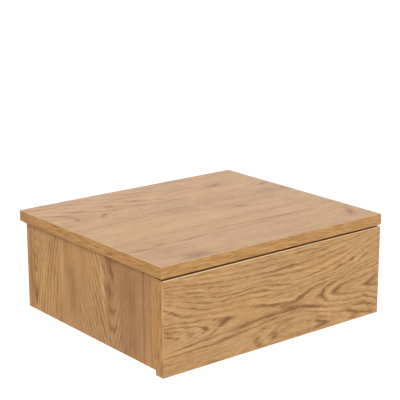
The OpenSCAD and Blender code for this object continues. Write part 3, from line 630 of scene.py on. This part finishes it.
SIDE_PATCHES = [
    (31, 203, 12, 2.6, -0.3, 0.42), (4, 195, 12, 6, -0.2, 0.26), (48, 200, 12, 14, 0.0, 0.24),
    (12, 181, 42, 3.5, -0.14, -0.34), (14, 199, 34, 9, -0.1, 0.14), (-22, 203, 6, 9, 0.0, 0.16),
    (-44, 198, 5, 6, 0.5, 0.16), (-44, 208, 8, 2.5, 0.5, 0.16), (-10, 240, 90, 22, 0.0, 0.20),
    (-45, 21, 15, 3.5, 0.0, 0.34), (-36, 14, 18, 1.8, -0.22, 0.20), (-30, 29, 20, 1.8, 0.28, 0.20),
    (8, 17, 14, 1.8, -0.2, 0.22), (8, 26, 14, 1.8, 0.25, 0.22), (-10, 42, 40, 4, 0.25, -0.16),
    (0, 270, 200, 1.2, 0.0, 0.22), (0, 9.5, 200, 1.8, 0.0, 0.24), (-15, 110, 30, 12, 0.0, 0.12),
    (30, 88, 40, 6, 0.0, -0.12)]
SIDE_CALM = [(0, 108, 300, 22, 0.0, 1.0), (0, 262, 300, 36, 0.0, 1.0), (28, 205, 34, 12, 0.0, 1.0),
             (34, 232, 50, 13, 0.0, 0.8), (36, 140, 36, 15, 0.0, 0.7), (-60, 130, 20, 14, 0.0, 0.5),
             (-30, 203, 30, 8, 0.0, 0.5), (-70, 203, 14, 14, 0.0, 0.5)]
SIDE_WARM = [(0, 50, 200, 60, 0.0, 0.3), (0, 245, 200, 30, 0.0, -0.6), (20, 203, 40, 10, 0.0, -0.4)]
TOP_PATCHES = [
    (290, 61, 14, 4.4, -0.15, 0.30), (247, 170, 9, 4.4, 0.20, 0.25), (100, 249, 26, 3.2, -0.05, 0.30),
    (52, 247, 11, 5.0, -0.20, 0.21), (20, 252, 18, 2.5, 0.15, 0.25), (62, 306, 20, 11.2, 0.00, 0.25),
    (346, 283, 12, 10.0, -1.00, 0.33), (352, 97, 9, 3.8, -0.20, 0.23), (190, 88, 29, 3.0, 0.08, 0.23),
    (102, 62, 8, 7.0, 0.60, 0.30), (148, 59, 12, 6.0, 0.50, 0.24), (28, 68, 13, 4.0, 1.00, 0.26),
    (34, 84, 4, 8.0, 0.60, 0.24), (32, 93, 5, 3.5, -0.50, 0.20), (53, 60, 14, 4.0, 0.70, 0.28),
    (75, 92, 9, 4.0, -0.90, 0.28), (84, 78, 18, 2.0, 0.30, 0.16), (128, 78, 30, 2.2, 0.25, 0.14),
    (60, 70, 34, 3.0, 0.40, -0.12), (120, 80, 50, 2.5, 0.08, 0.11), (222, 52, 22, 5.0, 0.00, 0.13),
    (205, 237, 66, 2.0, 0.02, 0.18), (265, 241, 37, 2.0, 0.03, 0.21), (300, 208, 77, 2.5, 0.00, 0.13),
    (145, 211, 55, 1.9, -0.03, 0.13), (105, 180, 15, 2.5, -0.25, 0.18), (205, 249, 33, 1.8, -0.05, 0.15),
    (60, 262, 55, 1.8, -0.02, 0.13), (200, 130, 143, 10.0, 0.00, 0.10), (330, 120, 66, 37.5, 0.00, 0.06),
    (90, 185, 88, 22.5, 0.00, -0.08), (250, 190, 99, 7.5, 0.00, -0.07), (150, 80, 66, 3.8, 0.05, -0.08),
    (300, 84, 77, 3.8, 0.00, -0.08)]
TOP_CALM = [(190, 240, 600, 100, 0.0, 1.2), (300, 70, 140, 90, 0.0, 1.0)]
TOP_WARM = [(70, 190, 110, 34, 0.0, 0.5), (60, 60, 70, 30, 0.0, 0.2), (330, 150, 90, 90, 0.0, -0.5),
            (150, 300, 130, 40, 0.0, -0.4)]

# The top's tint carries painted sheen and painted light
oak_top = oak("oak_top", top_rings, from_left, from_wall, face="z", seed=0.0, rings=0.26, flow=0.07,
              streaks=0.32, fibres=0.34, feathers=0.4, patches=TOP_PATCHES, calm=TOP_CALM, warm=TOP_WARM,
              tint=TOP_TINT_AND_SHEEN)
oak_front = oak("oak_front", front_rings, from_front_left, from_lower_edge, face="y", seed=0.0,
                rings=0.50, flow=0.42, fibres=0.48, feathers=0.9, wander=1.0, patches=FRONT_PATCHES,
                calm=FRONT_CALM)
oak_side = oak("oak_side", side_rings, above_middle, from_wall, face="x", seed=0.0, rings=0.38, flow=0.22,
               streaks=0.22, fibres=0.22, feathers=0.35, broken=0.5, gaps=0.5, patches=SIDE_PATCHES,
               calm=SIDE_CALM, warm=SIDE_WARM, tint=SIDE_TINT)
oak_floor = oak("oak_floor", plain_rings, from_left, from_wall, face="z", seed=7.0, rings=0.4, flow=0.25)
oak_back = oak("oak_back", plain_rings, from_left, from_lower_edge, face="y", seed=31.0, rings=0.28,
               flow=0.2, streaks=0.25, wander=8.0)
# The strips' pale corners are partly painted highlight, and under darkens the corners that look down with
# painted shade
slab_band_x = oak_band("slab_band_along_x", axis="x", seed=3.0, core_and_highlight=0.4, lowest=0.45, under=0.6)
slab_band_y = oak_band("slab_band_along_y", axis="y", seed=5.0, core_and_highlight=0.7, lowest=0.45, under=0.6,
                       tint=SLAB_END_TINT)
band_x = oak_band("band_along_x", axis="x", seed=13.0, core_and_highlight=1.0)
band_y = oak_band("band_along_y", axis="y", seed=15.0, core_and_highlight=0.3)
band_z = oak_band("band_along_z", axis="z", seed=17.0, core_and_highlight=0.15, tint=END_TINT)


# The other materials

class Marks(NamedTuple):
    """A layer of surface marks: how many there are per millimetre along x, y and z, how much they change
    the tone, how uneven they make the roughness, and how fine and how harsh their noise is."""
    per_mm: tuple
    tone: float
    uneven: float = 0.0
    detail: float = 3.0
    harshness: float = 0.5


# The tone of a material before its marks
MIDDLE_TONE = 0.5
STAINS = Marks((1 / 9, 1 / 9, 1 / 9), tone=0.35, uneven=0.08)


def marked(name, dark, pale, roughness, depth, fine, coarse=None, **sockets):
    """A material whose tone and roughness vary with one or two layers of marks. The fine layer makes its
    bump too."""
    s = Shade(name)
    tone, rough = MIDDLE_TONE, roughness
    layers = [layer for layer in (fine, coarse) if layer]
    noises = [speckle(s, layer.per_mm, layer.detail, layer.harshness) for layer in layers]
    for layer, marks in zip(layers, noises):
        tone = tone + marks * layer.tone
        if layer.uneven:
            rough = rough + marks * layer.uneven
    colour = s.ramp(s.clamp(tone), [(0.0, dark), (1.0, pale)])
    return s.finish(colour, rough, noises[0], depth, **sockets)


def metal(name, dark, pale, roughness, depth, per_mm, uneven=0.06):
    """Bare or plated metal with a fine surface texture and slight stains."""
    fine = Marks(per_mm, tone=0.35, uneven=uneven, harshness=0.6)
    return marked(name, dark, pale, roughness, depth, fine, STAINS, Metallic=1.0)


BY_SLOT = {
    "drawer_board": marked("drawer_board", srgb(196, 190, 180), srgb(226, 221, 212),
                           roughness=0.45, depth=0.02,
                           fine=Marks((1 / 2, 1 / 6, 1 / 2), tone=0.2, uneven=0.06),
                           coarse=Marks((1 / 3, 1 / 60, 1 / 1.5), tone=0.4)),
    "hardboard": marked("hardboard", srgb(188, 179, 162), srgb(212, 204, 189),
                        roughness=0.5, depth=0.03,
                        fine=Marks((1 / 1.5, 1 / 1.5, 1 / 1.5), tone=0.3, uneven=0.08, detail=4.0,
                                   harshness=0.7),
                        coarse=Marks((1 / 25, 1 / 25, 0.0), tone=0.16, detail=2.0)),
    "beech_dowel": marked("beech_dowel", srgb(196, 158, 112), srgb(226, 192, 148),
                          roughness=0.6, depth=0.05,
                          fine=Marks((1.5, 1.5, 1.5), tone=0.5, uneven=0.1)),
    "black_plastic": marked("black_plastic", srgb(24, 24, 26), srgb(40, 40, 42),
                            roughness=0.5, depth=0.03,
                            fine=Marks((4.0, 4.0, 4.0), tone=0.5, uneven=0.1)),
    "felt": marked("felt", srgb(122, 118, 110), srgb(186, 181, 172),
                   roughness=0.95, depth=0.2,
                   fine=Marks((3.0, 3.0, 3.0), tone=0.6, detail=5.0, harshness=0.8)),
    "zinc_screw": metal("zinc_screw", srgb(168, 170, 172), srgb(206, 208, 210),
                        roughness=0.28, depth=0.01, per_mm=(2.0, 2.0, 2.0)),
    "cast_zinc_cam": metal("cast_zinc_cam", srgb(140, 142, 145), srgb(182, 184, 186),
                           roughness=0.48, depth=0.04, per_mm=(3.0, 3.0, 3.0), uneven=0.16),
    "runner_steel": metal("runner_steel", srgb(176, 178, 181), srgb(212, 213, 215),
                          roughness=0.30, depth=0.01, per_mm=(4.0, 0.2, 4.0)),
    "ball_steel": metal("ball_steel", srgb(196, 198, 200), srgb(224, 225, 227),
                        roughness=0.12, depth=0.005, per_mm=(3.0, 3.0, 3.0))}
BY_NODE = {"top_panel": oak_top, "drawer_front": oak_front, "left_side_panel": oak_side,
           "right_side_panel": oak_side, "bottom_panel": oak_floor, "back_panel": oak_back,
           "top_front_band": slab_band_x, "top_left_band": slab_band_y, "top_right_band": slab_band_y,
           "left_side_front_band": band_z, "right_side_front_band": band_z,
           "left_side_bottom_band": band_y, "right_side_bottom_band": band_y,
           "bottom_front_band": band_x, "drawer_front_top_band": band_x,
           "drawer_front_bottom_band": band_x, "drawer_front_left_band": band_z,
           "drawer_front_right_band": band_z}

for piece in frame["record"]["subparts"]:
    node = nodes[piece["node"]]
    material = BY_NODE.get(piece["node"]) or BY_SLOT[piece["material_slot"]]
    node.data.materials.clear()
    node.data.materials.append(material)


# Camera, floor and light

# The camera as worked out from the photograph's edges, with its place in metres
FOCAL_PIXELS = 1240.0
FRAME_PIXELS = 400.0
SENSOR_WIDTH = 36.0
CAMERA_PLACE = (-1.008, -1.419, 0.523)
CAMERA_DOWN = math.radians(15.14)
CAMERA_TURN = math.radians(-38.70)
# Metres from the cabinet down to the floor, and from the floor's middle to its sides
FLOOR_BELOW = 0.9
FLOOR_HALF = 30.0
FLOOR_COLOUR = (0.94, 0.94, 0.94)
FLOOR_ROUGHNESS = 0.9
WORLD_COLOUR = (1.0, 1.0, 1.0, 1.0)
WORLD_STRENGTH = 0.14
# Each light's name, the direction in which it shines, whose length is its strength, and its width in
# degrees
LIGHTS = [("key_light", (0.57, 0.45, -0.49), 24.0), ("front_light", (0.0, 0.35, -0.04), 12.0),
          ("top_light", (-0.15, -0.19, -0.44), 60.0), ("sheen_light", (-0.27, -0.33, -0.13), 60.0)]

camera = bpy.data.objects.new("camera", bpy.data.cameras.new("camera"))
camera.data.sensor_width = SENSOR_WIDTH
camera.data.lens = FOCAL_PIXELS / FRAME_PIXELS * SENSOR_WIDTH
camera.location = CAMERA_PLACE
camera.rotation_euler = (math.pi / 2 - CAMERA_DOWN, 0.0, CAMERA_TURN)
bpy.context.collection.objects.link(camera)
bpy.context.scene.camera = camera

floor_level = cad_box[0][2] - FLOOR_BELOW
corners = [(x * FLOOR_HALF, y * FLOOR_HALF, floor_level) for x, y in ((-1, -1), (1, -1), (1, 1), (-1, 1))]
floor_mesh = bpy.data.meshes.new("floor")
floor_mesh.from_pydata(corners, [], [(0, 1, 2, 3)])
floor_mesh.materials.append(Shade("floor").finish(FLOOR_COLOUR, FLOOR_ROUGHNESS))
floor = bpy.data.objects.new("floor", floor_mesh)
bpy.context.collection.objects.link(floor)

world = bpy.data.worlds.new("world")
world.use_nodes = True
background = world.node_tree.nodes["Background"]
background.inputs["Color"].default_value = WORLD_COLOUR
background.inputs["Strength"].default_value = WORLD_STRENGTH
bpy.context.scene.world = world
bpy.context.scene.view_settings.view_transform = "Standard"

for name, (x, y, z), width in LIGHTS:
    light = bpy.data.lights.new(name, "SUN")
    light.energy = math.hypot(x, y, z) * math.pi
    light.angle = math.radians(width)
    lamp = bpy.data.objects.new(name, light)
    lamp.rotation_euler = (math.atan2(math.hypot(x, y), -z), 0.0, math.atan2(-x, y))
    bpy.context.collection.objects.link(lamp)
